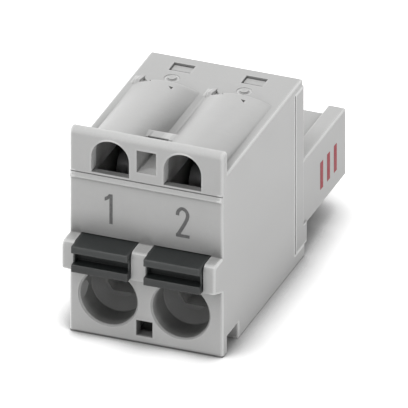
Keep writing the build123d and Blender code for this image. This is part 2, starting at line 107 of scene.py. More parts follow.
def view_direction(azimuth, elevation):
    """Unit vector from the part to the viewer; azimuth 0 looks along +Y."""
    a, e = math.radians(azimuth), math.radians(elevation)
    return Vector((math.sin(a) * math.cos(e), -math.cos(a) * math.cos(e), math.sin(e)))


back = view_direction(VIEW_AZIMUTH, VIEW_ELEVATION)
camera_data = bpy.data.cameras.new("view")
camera_data.type = "ORTHO"
camera_data.ortho_scale = VIEW_WIDTH
camera_data.clip_start = 0.001
camera_data.clip_end = 2.0
camera = bpy.data.objects.new("view", camera_data)
camera.location = VIEW_CENTRE + back * VIEW_DISTANCE
camera.rotation_mode = "QUATERNION"
camera.rotation_quaternion = (-back).to_track_quat("-Z", "Y")
bpy.context.scene.collection.objects.link(camera)
bpy.context.scene.camera = camera
bpy.context.scene.view_settings.view_transform = "Standard"
print("view width in mm:", round(VIEW_WIDTH / MM, 2))

# %% [markdown]
# ## Shader nodes
# The light, the floor and the finishes are all made of shader nodes. Two short
# helpers, one to feed a socket and one for arithmetic, keep the steps short.

# %% Helpers for shader nodes
def feed(tree, socket, value):
    """Links an output to the socket, or sets the socket to a plain value."""
    if isinstance(value, bpy.types.NodeSocket):
        tree.links.new(value, socket)
    else:
        socket.default_value = value


def math_node(tree, operation, a, b=0.0):
    """Math node on two outputs or numbers; returns its output."""
    node = tree.nodes.new("ShaderNodeMath")
    node.operation = operation
    feed(tree, node.inputs[0], a)
    feed(tree, node.inputs[1], b)
    return node.outputs[0]


print("helpers:", feed.__name__, "and", math_node.__name__)

# %% [markdown]
# ## The room
# The picture has a white room whose light comes from all sides, a little more
# from behind and from the left, and less from the front. Lamps would cast hard
# shapes here, so the world itself does most of the work: its strength changes
# with the direction. It shows as plain white to the viewer and in reflections.

# %% Make the white world
WHITE = (1.0, 1.0, 1.0, 1.0)
WORLD_LIGHT = 0.76
WORLD_LEAN = Vector((-0.32, 0.36, 0.0))


def light_path_mask(tree):
    """Output that is 1 for what the viewer sees directly, in gloss or through glass."""
    path = tree.nodes.new("ShaderNodeLightPath")
    seen_rays = path.outputs["Is Camera Ray"]
    for other in ("Is Glossy Ray", "Is Transmission Ray"):
        seen_rays = math_node(tree, "MAXIMUM", seen_rays, path.outputs[other])
    return seen_rays


world = bpy.data.worlds.new("white_room")
world.use_nodes = True
bpy.context.scene.world = world
room = world.node_tree
room.nodes.clear()
direction = room.nodes.new("ShaderNodeTexCoord")
lean = room.nodes.new("ShaderNodeVectorMath")
lean.operation = "DOT_PRODUCT"
lean.inputs[1].default_value = WORLD_LEAN
room.links.new(direction.outputs["Generated"], lean.inputs[0])
lit = room.nodes.new("ShaderNodeBackground")
lit.inputs["Color"].default_value = WHITE
feed(room, lit.inputs["Strength"], math_node(room, "ADD", lean.outputs["Value"], WORLD_LIGHT))
seen = room.nodes.new("ShaderNodeBackground")
seen.inputs["Color"].default_value = WHITE
seen.inputs["Strength"].default_value = 1.0
choose = room.nodes.new("ShaderNodeMixShader")
room_out = room.nodes.new("ShaderNodeOutputWorld")
room.links.new(light_path_mask(room), choose.inputs["Fac"])
room.links.new(lit.outputs[0], choose.inputs[1])
room.links.new(seen.outputs[0], choose.inputs[2])
room.links.new(choose.outputs[0], room_out.inputs["Surface"])
print("world light:", WORLD_LIGHT, "leaning by", list(WORLD_LEAN))

# %% [markdown]
# Two weak lamps add what the even room lacks: one, high at the front left,
# gives the edges a highlight, and the other lifts the right side. A lamp's
# power is easier to think of as the tone that it gives to a white card. The
# helper takes that tone and works out the watts from the distance.

# %% Hang the lamps
def add_lamp(name, place_mm, size_mm, tone):
    """Square lamp that points at the part and lights a white card there to this tone."""
    data = bpy.data.lights.new(name, "AREA")
    data.shape = "SQUARE"
    data.size = size_mm * MM
    place = Vector(place_mm) * MM
    aim = place - VIEW_CENTRE
    data.energy = tone * math.pi ** 2 * aim.length_squared
    lamp = bpy.data.objects.new(name, data)
    lamp.location = place
    lamp.rotation_mode = "QUATERNION"
    lamp.rotation_quaternion = aim.to_track_quat("Z", "Y")
    bpy.context.scene.collection.objects.link(lamp)
    return lamp


add_lamp("edge_lamp", place_mm=(-50, -76, 131), size_mm=40, tone=0.13)
add_lamp("right_lamp", place_mm=(220, -30, 14), size_mm=60, tone=0.05)

# %% [markdown]
# ## The floor
# The floor is white paper. To the viewer it also glows, so that it melts into
# the white room. Cycles can tell how open each place of the floor is. Close to
# the part the glow fades out, and under it the paper's colour is painted darker
# too: a painted contact shadow on top of the paper's real shadow. The openness
# is taken a little to the right of straight up, and that makes the painted
# shadow wider on the left of the part.

# %% Helpers for masks
def product(tree, *factors):
    """Output of all the factors multiplied, from left to right."""
    result = factors[0]
    for factor in factors[1:]:
        result = math_node(tree, "MULTIPLY", result, factor)
    return result


def map_range(tree, value, low, high, to_low=0.0, to_high=1.0, kind="LINEAR"):
    """Output that goes from to_low to to_high while the value goes from low to high."""
    node = tree.nodes.new("ShaderNodeMapRange")
    node.interpolation_type = kind
    ends = {"From Min": low, "From Max": high, "To Min": to_low, "To Max": to_high}
    for label, number in ends.items():
        node.inputs[label].default_value = number
    tree.links.new(value, node.inputs["Value"])
    return node.outputs[0]


print("helpers:", product.__name__, "and", map_range.__name__)

# %% Lay the floor
FLOOR_HALF_WIDTH = 600
FLOOR_COLOUR = 0.85
FLOOR_GLOW = 0.8
GLOW_BEGINS = 0.55
CLOSED_IN = 0.3
HALF_OPEN = 0.72
PAINTED_SHADOW_TONE = 0.4
SHADOW_REACH = 3.8
SHADOW_LEAN = Vector((0.09, 0.0, 1.0)).normalized()


def white_paper():
    """Paper that glows to the viewer, with a painted contact shadow where the part stands close
    by.
    """
    finish = bpy.data.materials.new("white_paper")
    finish.use_nodes = True
    tree = finish.node_tree
    tree.nodes.clear()
    around = tree.nodes.new("ShaderNodeAmbientOcclusion")
    around.inputs["Distance"].default_value = SHADOW_REACH * MM
    skyward = tree.nodes.new("ShaderNodeCombineXYZ")
    for socket, value in zip(skyward.inputs, SHADOW_LEAN):
        socket.default_value = value
    tree.links.new(skyward.outputs[0], around.inputs["Normal"])
    openness = around.outputs["AO"]
    # Painted contact shadow: the paper's colour darkens where the part closes it in.
    painted_shadow_colour = PAINTED_SHADOW_TONE * FLOOR_COLOUR
    under = map_range(tree, openness, CLOSED_IN, HALF_OPEN, painted_shadow_colour, FLOOR_COLOUR)
    paper = tree.nodes.new("ShaderNodeBsdfDiffuse")
    tree.links.new(under, paper.inputs["Color"])
    fade = map_range(tree, openness, GLOW_BEGINS, 1.0, 0.0, FLOOR_GLOW)
    glow = tree.nodes.new("ShaderNodeEmission")
    tree.links.new(product(tree, light_path_mask(tree), fade), glow.inputs["Strength"])
    both = tree.nodes.new("ShaderNodeAddShader")
    tree.links.new(paper.outputs[0], both.inputs[0])
    tree.links.new(glow.outputs[0], both.inputs[1])
    out = tree.nodes.new("ShaderNodeOutputMaterial")
    tree.links.new(both.outputs[0], out.inputs["Surface"])
    return finish


def add_floor(half_width_mm):
    """Flat floor under the part, with the paper finish."""
    mesh = bpy.data.meshes.new("floor")
    h = half_width_mm * MM
    mesh.from_pydata([(-h, -h, 0), (h, -h, 0), (h, h, 0), (-h, h, 0)], [], [(0, 1, 2, 3)])
    floor = bpy.data.objects.new("floor", mesh)
    bpy.context.scene.collection.objects.link(floor)
    mesh.materials.append(white_paper())
    return floor


floor = add_floor(FLOOR_HALF_WIDTH)
floor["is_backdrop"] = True
print("floor half width in mm:", FLOOR_HALF_WIDTH)

# %% [markdown]
# ## Effects that several finishes share
# Real plastic and metal are never one even tone. Each effect below is a node
# group with its own settings, made once and used by each finish with other
# numbers. The groups give out only colours, masks, heights and normals.

# %% Helpers for node groups
def new_group(name, inputs, outputs):
    """Empty group with named sockets; returns it with its input and output nodes."""
    group = bpy.data.node_groups.new(name, "ShaderNodeTree")
    for label, (kind, value) in inputs.items():
        socket = group.interface.new_socket(name=label, in_out="INPUT", socket_type=kind)
        socket.default_value = value
    for label, kind in outputs.items():
        group.interface.new_socket(name=label, in_out="OUTPUT", socket_type=kind)
    return group, group.nodes.new("NodeGroupInput"), group.nodes.new("NodeGroupOutput")


def smooth_step(tree, value, low, high):
    """Output that goes softly from 0 to 1 while the value goes from low to high."""
    return map_range(tree, value, low, high, kind="SMOOTHSTEP")


def scale_colour(tree, colour, factor):
    """Output of a colour times a factor."""
    node = tree.nodes.new("ShaderNodeVectorMath")
    node.operation = "SCALE"
    feed(tree, node.inputs[0], colour)
    feed(tree, node.inputs["Scale"], factor)
    return node.outputs[0]


def noise_node(tree, places, scale, detail=2.0):
    """Noise over the given places; returns its value, which runs about from 0.3 to 0.7."""
    node = tree.nodes.new("ShaderNodeTexNoise")
    node.inputs["Detail"].default_value = detail
    tree.links.new(places, node.inputs["Vector"])
    feed(tree, node.inputs["Scale"], scale)
    return node.outputs["Fac"]


def places_in_mm(tree, stretch=(1.0, 1.0, 1.0)):
    """Places on the piece in millimetres, squeezed along an axis where a streak should be long."""
    where = tree.nodes.new("ShaderNodeTexCoord")
    scale = tree.nodes.new("ShaderNodeMapping")
    scale.inputs["Scale"].default_value = [v / MM for v in stretch]
    tree.links.new(where.outputs["Object"], scale.inputs["Vector"])
    return scale.outputs[0]


print("helpers for groups ready, node groups so far:", len(bpy.data.node_groups))

# %% [markdown]
# **Spark texture.** A mould for such a housing is eroded by sparks, which
# leaves a fine pebbled skin on the plastic. Two noises of different size, added
# together, give that height.

# %% Group: spark texture
COARSE_SCALE = 0.35
SPOT_HEIGHTS = (0.6, 0.85)


def make_spark_texture():
    """Height of a fine pebbled skin, and a mask of its high spots."""
    group, ins, outs = new_group(
        "spark_texture",
        {"Pebbles per mm": ("NodeSocketFloat", 9.0), "Coarse share": ("NodeSocketFloat", 0.4)},
        {"Height": "NodeSocketFloat", "High spots": "NodeSocketFloat"},
    )
    places = places_in_mm(group)
    fine = noise_node(group, places, ins.outputs["Pebbles per mm"], detail=3.0)
    coarse_scale = product(group, ins.outputs["Pebbles per mm"], COARSE_SCALE)
    coarse = noise_node(group, places, coarse_scale, detail=1.0)
    part = product(group, coarse, ins.outputs["Coarse share"])
    height = math_node(group, "ADD", fine, part)
    group.links.new(height, outs.inputs["Height"])
    group.links.new(map_range(group, height, *SPOT_HEIGHTS), outs.inputs["High spots"])
    return group


SPARK = make_spark_texture()
print("group:", SPARK.name)

# %% [markdown]
# **Tone drift.** Where the melt met or cooled slowly, the grey comes out a
# touch lighter or darker, in soft patches a few millimetres wide, with a much
# finer cloud over them.

# %% Group: tone drift
SLOW_SHARE = 0.65
QUICK_SHARE = 0.35
QUICK_PER_MM = 3.0
NOISE_MIDDLE = 0.5
DRIFT_GAIN = 4.0


def make_tone_drift():
    """The given colour, made lighter and darker in soft patches."""
    group, ins, outs = new_group(
        "tone_drift",
        {
            "Color": ("NodeSocketColor", (0.5, 0.5, 0.5, 1.0)),
            "Amount": ("NodeSocketFloat", 0.05),
            "Patches per mm": ("NodeSocketFloat", 0.35),
        },
        {"Color": "NodeSocketColor", "Drift": "NodeSocketFloat"},
    )
    places = places_in_mm(group)
    slow = product(group, noise_node(group, places, ins.outputs["Patches per mm"]), SLOW_SHARE)
    quick = product(group, noise_node(group, places, QUICK_PER_MM, detail=4.0), QUICK_SHARE)
    mixed = math_node(group, "ADD", slow, quick)
    centred = math_node(group, "SUBTRACT", mixed, NOISE_MIDDLE)
    swing = product(group, centred, DRIFT_GAIN, ins.outputs["Amount"])
    factor = math_node(group, "ADD", swing, 1.0)
    group.links.new(scale_colour(group, ins.outputs["Color"], factor), outs.inputs["Color"])
    group.links.new(mixed, outs.inputs["Drift"])
    return group


DRIFT = make_tone_drift()
print("group:", DRIFT.name)

# %% [markdown]
# ** Soft edges.** No moulded or stamped edge is a knife edge. The larger
# roundings are in the solids, and this group rounds the remaining ones in the
# shading. Its mask looks from the surface into the solid: near an outer edge
# the way out is short. So it finds rounded edges too, but never inner corners.
# The plastics paint a highlight along this mask.

# %% Group: soft edges
BEVEL_SAMPLES = 6
OPEN_SAMPLES = 8
EDGE_BEGINS = 0.98
EDGE_FULL = 0.8


def open_node(tree, reach, own_piece=False, inside=False):
    """How open a place is within the reach: 1 in the open, 0 where all is closed."""
    node = tree.nodes.new("ShaderNodeAmbientOcclusion")
    node.samples = OPEN_SAMPLES
    node.only_local = own_piece
    node.inside = inside
    feed(tree, node.inputs["Distance"], reach)
    return node.outputs["AO"]


def make_soft_edges():
    """Normal that is rounded at sharp edges, and a mask of all outer edges."""
    group, ins, outs = new_group(
        "soft_edges",
        {"Radius": ("NodeSocketFloat", 0.05 * MM), "Width": ("NodeSocketFloat", 0.18 * MM)},
        {"Normal": "NodeSocketVector", "Edges": "NodeSocketFloat"},
    )
    bevel = group.nodes.new("ShaderNodeBevel")
    bevel.samples = BEVEL_SAMPLES
    group.links.new(ins.outputs["Radius"], bevel.inputs["Radius"])
    inward = open_node(group, ins.outputs["Width"], own_piece=True, inside=True)
    edges = map_range(group, inward, EDGE_BEGINS, EDGE_FULL)
    group.links.new(bevel.outputs[0], outs.inputs["Normal"])
    group.links.new(edges, outs.inputs["Edges"])
    return group


SOFT_EDGES = make_soft_edges()
print("group:", SOFT_EDGES.name)

# %% [markdown]
# ** Recess shade.** Grooves, holes and the feet of the domes look darker than
# open faces, because little light comes out of them. The group paints that
# shade into the colour: it turns the openness of a place into a darker colour,
# twice: over a long reach within the piece, where deep places are dark already
# and get less of it, and over a short one, where another piece may touch, as a
# painted contact shadow.

# %% Group: recess shade
SHALLOW = (0.02, 0.3)
DEEP = (0.3, 0.7)
DEEP_RELIEF = 0.8


def make_recess_shade():
    """The given colour with painted shade where other faces stand close by, and how open the place
    is.
    """
    group, ins, outs = new_group(
        "recess_shade",
        {
            "Color": ("NodeSocketColor", (0.5, 0.5, 0.5, 1.0)),
            "Reach": ("NodeSocketFloat", 5.0 * MM),
            "Amount": ("NodeSocketFloat", 0.4),
            "Touch reach": ("NodeSocketFloat", 0.3 * MM),
            "Touch": ("NodeSocketFloat", 0.35),
        },
        {"Color": "NodeSocketColor", "Open": "NodeSocketFloat"},
    )
    openness = open_node(group, ins.outputs["Reach"], own_piece=True)
    closed = math_node(group, "SUBTRACT", 1.0, openness)
    shallow = smooth_step(group, closed, *SHALLOW)
    deep = product(group, smooth_step(group, closed, *DEEP), DEEP_RELIEF)
    not_deep = math_node(group, "SUBTRACT", 1.0, deep)
    darker = product(group, shallow, not_deep, ins.outputs["Amount"])
    touching = math_node(group, "SUBTRACT", 1.0, open_node(group, ins.outputs["Touch reach"]))
    line = product(group, touching, ins.outputs["Touch"])
    kept = [math_node(group, "SUBTRACT", 1.0, loss) for loss in (darker, line)]
    shaded = scale_colour(group, ins.outputs["Color"], product(group, *kept))
    group.links.new(shaded, outs.inputs["Color"])
    group.links.new(openness, outs.inputs["Open"])
    return group


RECESS_PAINTED_SHADE = make_recess_shade()
print("group:", RECESS_PAINTED_SHADE.name)

# %% [markdown]
# **Drawn streaks.** Metal strip is rolled and drawn, which leaves fine lines
# along its length. A noise that is squeezed in that direction gives them.

# %% Group: drawn streaks
ALONG_STRIP = (1.0, 0.04, 0.3)
LINE_HEIGHTS = (0.4, 0.7)


def make_drawn_streaks():
    """Height and mask of fine lines along Y, as on rolled strip."""
    group, ins, outs = new_group(
        "drawn_streaks",
        {"Lines per mm": ("NodeSocketFloat", 12.0)},
        {"Height": "NodeSocketFloat", "Lines": "NodeSocketFloat"},
    )
    lines = noise_node(group, places_in_mm(group, ALONG_STRIP), ins.outputs["Lines per mm"])
    group.links.new(lines, outs.inputs["Height"])
    group.links.new(map_range(group, lines, *LINE_HEIGHTS), outs.inputs["Lines"])
    return group


STREAKS = make_drawn_streaks()
print("group:", STREAKS.name)

# %% [markdown]
# ## The finishes
# Each finish is one material with its own shader. The groups feed its colour,
# roughness and bump, and plain numbers are set on the shader itself.

# %% Helpers for finishes
NOISE_RANGE = (0.3, 0.7)


def new_finish(name):
    """Material with one Principled shader; returns it, its tree and the shader."""
    finish = bpy.data.materials.new(name)
    finish.use_nodes = True
    tree = finish.node_tree
    tree.nodes.clear()
    shader = tree.nodes.new("ShaderNodeBsdfPrincipled")
    out = tree.nodes.new("ShaderNodeOutputMaterial")
    tree.links.new(shader.outputs[0], out.inputs["Surface"])
    return finish, tree, shader


def place_group(tree, group, **values):
    """The group as a node in this tree, with its named inputs set."""
    node = tree.nodes.new("ShaderNodeGroup")
    node.node_tree = group
    for label, value in values.items():
        node.inputs[label.replace("_", " ")].default_value = value
    return node


def bump(tree, shader, height, edges, distance_mm):
    """Feeds a height over soft edges to the shader's normal."""
    node = tree.nodes.new("ShaderNodeBump")
    node.inputs["Distance"].default_value = distance_mm * MM
    tree.links.new(height, node.inputs["Height"])
    tree.links.new(edges.outputs["Normal"], node.inputs["Normal"])
    tree.links.new(node.outputs[0], shader.inputs["Normal"])
    return node


def colour_mix(tree, mask, a, b, amount=1.0):
    """Colour output that goes from a to b with the mask."""
    node = tree.nodes.new("ShaderNodeMix")
    node.data_type = "RGBA"
    tree.links.new(product(tree, mask, amount), node.inputs["Factor"])
    feed(tree, node.inputs["A"], a)
    feed(tree, node.inputs["B"], b)
    return node.outputs["Result"]


def noise_to(tree, noise, low, high):
    """The usual range of a noise, stretched to low and high."""
    return map_range(tree, noise, *NOISE_RANGE, low, high)


def axis_parts(tree, vector):
    """Outputs of a vector's parts, by the names X, Y and Z."""
    parts = tree.nodes.new("ShaderNodeSeparateXYZ")
    tree.links.new(vector, parts.inputs[0])
    return parts.outputs


print("helpers for finishes ready, finishes so far:", len(bpy.data.materials))

# %% [markdown]
# ** Moulded plastic.** The housing, the carrier and the buttons are the same
# kind of finish in other tones: a pebbled skin, a drifting tone, painted shade
# in recesses, a painted highlight along the edges, and a satin gloss that varies
# with the drift. The highlight is painted strongest on outer edges, at the sides
# and at the crown, and weak on inner ones.

# %% Finish: moulded plastic
# Where the painted edge highlight is strongest: at the crown and on the sides.
CROWN = 14.7
CROWN_BAND = 0.4
SIDE_BAND = 0.3
INNER_EDGE_SHARE = 0.15
TURNING = (0.03, 0.16)
PLASTIC_DRIFT = 0.03
PLASTIC_EDGE = 0.05
PLASTIC_IOR = 1.5
PALEST = (0.95, 0.95, 0.945)


def side_rounding(tree):
    """1 where the surface turns from a side to another face, 0 on flat faces."""
    where = tree.nodes.new("ShaderNodeTexCoord")
    aside = axis_parts(tree, where.outputs["Normal"])["X"]
    sideways = product(tree, aside, aside)
    other = math_node(tree, "SUBTRACT", 1.0, sideways)
    return smooth_step(tree, product(tree, sideways, other), *TURNING)


def moulded_plastic(name, colour, highlight_colour, gloss, pebbles, depth_mm, shade, outer_mm):
    """Satin plastic with painted recess shade and painted edge highlights; gloss is its least and
    most roughness, outer_mm where its sides begin.
    """
    finish, tree, shader = new_finish(name)
    tone = place_group(tree, DRIFT, Color=(*colour, 1.0), Amount=PLASTIC_DRIFT)
    skin = place_group(tree, SPARK, Pebbles_per_mm=pebbles)
    edges = place_group(tree, SOFT_EDGES, Radius=PLASTIC_EDGE * MM)
    # Painted shade in the recesses of the piece.
    recess = place_group(tree, RECESS_PAINTED_SHADE, Amount=shade)
    tree.links.new(tone.outputs["Color"], recess.inputs["Color"])
    # Painted highlight on the edges, strongest at the sides and the crown, none in closed places.
    place = axis_parts(tree, places_in_mm(tree))
    aside = math_node(tree, "ABSOLUTE", place["X"])
    side = smooth_step(tree, aside, outer_mm - SIDE_BAND, outer_mm)
    crown = smooth_step(tree, place["Z"], CROWN - CROWN_BAND, CROWN)
    outer = math_node(tree, "MAXIMUM", math_node(tree, "MAXIMUM", side, crown), INNER_EDGE_SHARE)
    sharp = product(tree, edges.outputs["Edges"], outer)
    rounded = product(tree, side_rounding(tree), side)
    any_edge = math_node(tree, "MAXIMUM", sharp, rounded)
    edge_highlight_mask = product(tree, any_edge, recess.outputs["Open"])
    painted_edge_highlight = colour_mix(tree, edge_highlight_mask, recess.outputs["Color"], (*highlight_colour, 1.0))
    tree.links.new(painted_edge_highlight, shader.inputs["Base Color"])
    tree.links.new(noise_to(tree, tone.outputs["Drift"], *gloss), shader.inputs["Roughness"])
    bump(tree, shader, skin.outputs["Height"], edges, depth_mm)
    shader.inputs["IOR"].default_value = PLASTIC_IOR
    return finish


GREY_SKIN = {"highlight_colour": PALEST, "gloss": (0.36, 0.48), "pebbles": 9.0, "depth_mm": 0.006}
DARK_SKIN = {
    "highlight_colour": (0.05, 0.054, 0.053), "gloss": (0.38, 0.5), "pebbles": 12.0, "depth_mm": 0.004,
}
housing_finish = moulded_plastic(
    "housing_plastic", (0.60, 0.60, 0.595), shade=0.48, outer_mm=5.15, **GREY_SKIN)
carrier_finish = moulded_plastic(
    "carrier_plastic", (0.59, 0.59, 0.585), shade=0.3, outer_mm=4.9, **GREY_SKIN)
button_finish = moulded_plastic(
    "button_plastic", (0.026, 0.030, 0.030), shade=0.7, outer_mm=0.3, **DARK_SKIN)
print("plastics:", [f.name for f in (housing_finish, carrier_finish, button_finish)])

# %% [markdown]
# ** Wire entries.** The photograph shows the wire entries darker than their depth
# alone makes them here. So shade is painted into the colour of the housing
# there, darker with the depth behind the front face. The small hole between them
# has painted shade right behind its rim, and the lowest edge of the front, where
# the part stands on the floor, has a painted contact shadow.

# %% Paint shade into the wire entries
BUTTON_REACH = 2.02
FACE_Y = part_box("release_button_1")[0].y / MM + BUTTON_REACH
UNDERSIDE = 0.05
ENTRY_BEGINS = 0.05
ENTRY_FULL = 1.1
ENTRY_DEPTH = 2.45
ENTRY_TOP = 4.8
ENTRY_SIDE = 4.6
ENTRY_DARK = 0.58
HOLE_BEGINS = 0.02
HOLE_FULL = 0.25
HOLE_HALF = 0.8
HOLE_TOP = 1.6
HOLE_DARK = 0.55
FOOT_BEGINS = 0.17
FOOT_FULL = 0.09
FOOT_DEPTH = 0.1
FOOT_DARK = 0.75


def open_finish(finish):
    """The tree and the shader of a finish, and the output that feeds its colour."""
    tree = finish.node_tree
    shader = next(n for n in tree.nodes if n.type == "BSDF_PRINCIPLED")
    return tree, shader, shader.inputs["Base Color"].links[0].from_socket


def paint_shade_in_entries(finish):
    """Paints shade into the entries, the hole and the foot, between the colour of the finish and
    its shader.
    """
    tree, shader, colour = open_finish(finish)
    place = axis_parts(tree, places_in_mm(tree))
    aside = math_node(tree, "ABSOLUTE", place["X"])
    above = math_node(tree, "GREATER_THAN", place["Z"], UNDERSIDE)
    entry = product(
        tree,
        smooth_step(tree, place["Y"], FACE_Y + ENTRY_BEGINS, FACE_Y + ENTRY_FULL),
        math_node(tree, "LESS_THAN", place["Y"], FACE_Y + ENTRY_DEPTH),
        math_node(tree, "LESS_THAN", place["Z"], ENTRY_TOP),
        above,
        math_node(tree, "LESS_THAN", aside, ENTRY_SIDE),
    )
    hole = product(
        tree,
        smooth_step(tree, place["Y"], FACE_Y + HOLE_BEGINS, FACE_Y + HOLE_FULL),
        math_node(tree, "LESS_THAN", aside, HOLE_HALF),
        math_node(tree, "LESS_THAN", place["Z"], HOLE_TOP),
        above,
    )
    foot = product(
        tree,
        smooth_step(tree, place["Z"], FOOT_BEGINS, FOOT_FULL),
        math_node(tree, "LESS_THAN", place["Y"], FACE_Y + FOOT_DEPTH),
    )
    # Painted shade in the entries and the hole, and a painted contact shadow along the foot.
    darker = product(tree, entry, ENTRY_DARK)
    for mask, dark in ((hole, HOLE_DARK), (foot, FOOT_DARK)):
        darker = math_node(tree, "MAXIMUM", darker, product(tree, mask, dark))
    kept = math_node(tree, "SUBTRACT", 1.0, darker)
    tree.links.new(scale_colour(tree, colour, kept), shader.inputs["Base Color"])


paint_shade_in_entries(housing_finish)
print("front face in mm:", round(FACE_Y, 2))

# %% [markdown]
# ** Painted light and shade.** Some places are lighter or darker in the
# photograph than one even plastic would be in the light of this room, because
# the room here doesn't send them the same light. So light and shade are painted
# into the colour there: a factor above 1 paints light, one below 1 paints
# shade. The tones were found by comparing the render with the photograph, place
# by place. Each row of the table is a soft box: its name, whether every pole has
# one, where its tone begins, is full, ends and is gone, and the factor of its
# tone. The places are in millimetres, along the row of poles, behind the front
# face and up. The name becomes the label of a shader node, so that each box can
# be found again.

# %% Painted light and shade on single places
PITCH = 5.08
EVERYWHERE = (-99.0, -98.0, 98.0, 99.0)
OPENINGS = (-1.7, -1.5, 1.5, 1.7)
# Painted light and shade on the housing.
HOUSING_PAINTED_LIGHT_AND_SHADE = (
    ("valley between the domes", False,
     (-2.1, -0.7, 0.05, 0.2), (0.9, 1.2, 10.0, 10.6), (13.1, 13.2, 14.4, 14.9), 0.86),
    ("front above the ribs", False,
     EVERYWHERE, (-0.1, -0.05, 0.02, 0.05), (7.3, 7.4, 7.9, 9.4), 0.85),
    ("tops of the ribs", False,
     EVERYWHERE, (-1.6, -1.5, -0.1, -0.02), (7.3, 7.36, 7.6, 7.7), 1.45),
    ("jambs of the openings", True,
     OPENINGS, (0.02, 0.05, 0.8, 0.88), (12.17, 12.2, 14.3, 14.6), 2.1),
    ("sills of the openings", True,
     OPENINGS, (0.02, 0.05, 0.8, 0.88), (12.0, 12.05, 12.15, 12.17), 0.52),
    ("mouths of the test channels", True,
     (-1.2, -1.0, 1.1, 1.2), (0.9, 1.0, 2.0, 4.0), (11.0, 11.1, 13.3, 13.35), 1.9),
    ("ends of the test channels", True,
     (-1.7, -1.5, 1.5, 1.7), (2.0, 4.0, 7.5, 8.0), (11.0, 11.1, 13.6, 13.7), 2.0),
    ("window and its pocket", False,
     (-0.65, -0.6, 0.8, 0.85), (0.03, 0.05, 3.2, 3.3), (12.4, 12.5, 14.0, 14.1), 1.35),
    # A painted dark line stands for the shade in the gap before the tab.
    ("gap before the tab", False,
     (-0.8, -0.75, 0.65, 0.7), (2.2, 2.25, 2.35, 2.43), (13.9, 14.0, 14.4, 14.5), 0.3),
    ("top of the tab", False,
     (-0.8, -0.75, 0.65, 0.7), (2.42, 2.46, 3.2, 3.3), (14.1, 14.15, 14.4, 14.5), 1.14),
    ("left flank of the right dome", False,
     (0.25, 0.4, 1.0, 2.0), (0.9, 1.2, 10.3, 10.5), (13.4, 13.5, 15.0, 15.1), 1.12),
    ("right flank of the right dome", False,
     (2.8, 3.8, 4.9, 5.0), (0.9, 1.2, 10.3, 10.5), (13.4, 13.5, 15.0, 15.1), 1.07),
    ("gussets", True,
     (-2.8, -2.7, -2.25, -2.2), (10.2, 10.4, 11.2, 11.4), (13.3, 13.37, 13.8, 13.9), 1.4),
    ("reliefs", True,
     (-2.3, -2.2, -1.0, -0.9), (10.2, 10.4, 11.4, 11.6), (13.0, 13.1, 13.33, 13.355), 1.65),
    ("gate marks", True,
     (-0.8, -0.7, 0.35, 0.45), (11.1, 11.2, 12.6, 12.8), (13.2, 13.25, 13.355, 13.36), 1.6),
    ("floors of the entries", True,
     (-2.0, -1.9, 1.7, 1.8), (0.05, 0.2, 1.8, 1.85), (0.7, 0.8, 1.05, 1.6), 0.62),
    ("left walls of the entries", True,
     (-2.3, -2.2, -1.6, -1.3), (0.0, 0.1, 1.8, 1.85), (1.5, 2.0, 4.8, 4.9), 1.35),
    ("top of the bar", False,
     EVERYWHERE, (-0.1, -0.05, 0.9, 1.1), (14.7, 14.95, 98.0, 99.0), 1.15),
    ("left wall of the window", False,
     (-0.8, -0.75, -0.66, -0.62), (0.03, 0.05, 3.0, 3.1), (12.4, 12.5, 14.3, 14.4), 0.76),
    ("bead", False,
     EVERYWHERE, (-0.2, -0.17, 0.02, 0.05), (11.45, 11.5, 11.9, 11.95), 1.1),
    ("right end of the foot", False,
     (-0.5, 1.0, 5.2, 5.3), (-0.1, -0.05, 0.02, 0.05), (0.2, 0.3, 3.0, 5.0), 1.13),
    ("column between the entries", False,
     (-0.9, -0.5, 0.5, 0.9), (-0.1, -0.05, 0.02, 0.05), (1.8, 2.2, 4.4, 5.2), 1.12),
    ("notches", False,
     (4.15, 4.2, 5.5, 5.6), (0.8, 0.85, 2.9, 3.0), (-0.2, -0.1, 1.19, 1.25), 1.75),
    ("right side", False,
     (5.28, 5.33, 6.0, 7.0), (-2.0, -1.9, 30.0, 31.0), (2.5, 6.0, 98.0, 99.0), 0.94),
)


def soft_range(tree, value, bounds):
    """1 between the two middle bounds, falling softly to 0 at the outer ones."""
    begins, full, ends, gone = bounds
    rise = smooth_step(tree, value, begins, full)
    fall = smooth_step(tree, value, gone, ends)
    return product(tree, rise, fall)


def paint_light_and_shade(finish, rows):
    """Paints light and shade into the colour of the finish, lighter or darker in soft boxes."""
    tree, shader, colour = open_finish(finish)
    place = axis_parts(tree, places_in_mm(tree))
    along = place["X"]
    in_period = math_node(tree, "FLOORED_MODULO", along, PITCH)
    in_pitch = math_node(tree, "SUBTRACT", in_period, PITCH / 2)
    in_row = math_node(tree, "LESS_THAN", math_node(tree, "ABSOLUTE", along), PITCH)
    depth = math_node(tree, "SUBTRACT", place["Y"], FACE_Y)
    factor = 1.0
    for label, each_pole, wide, deep, high, tone in rows:
        mask = product(
            tree,
            soft_range(tree, in_pitch if each_pole else along, wide),
            soft_range(tree, depth, deep),
            soft_range(tree, place["Z"], high),
        )
        if each_pole:
            mask = product(tree, mask, in_row)
        step = math_node(tree, "ADD", product(tree, mask, tone - 1.0), 1.0)
        step.node.label = label
        factor = product(tree, factor, step)
    held = tree.nodes.new("ShaderNodeVectorMath")
    held.operation = "MINIMUM"
    held.inputs[1].default_value = PALEST
    tree.links.new(scale_colour(tree, colour, factor), held.inputs[0])
    tree.links.new(held.outputs[0], shader.inputs["Base Color"])


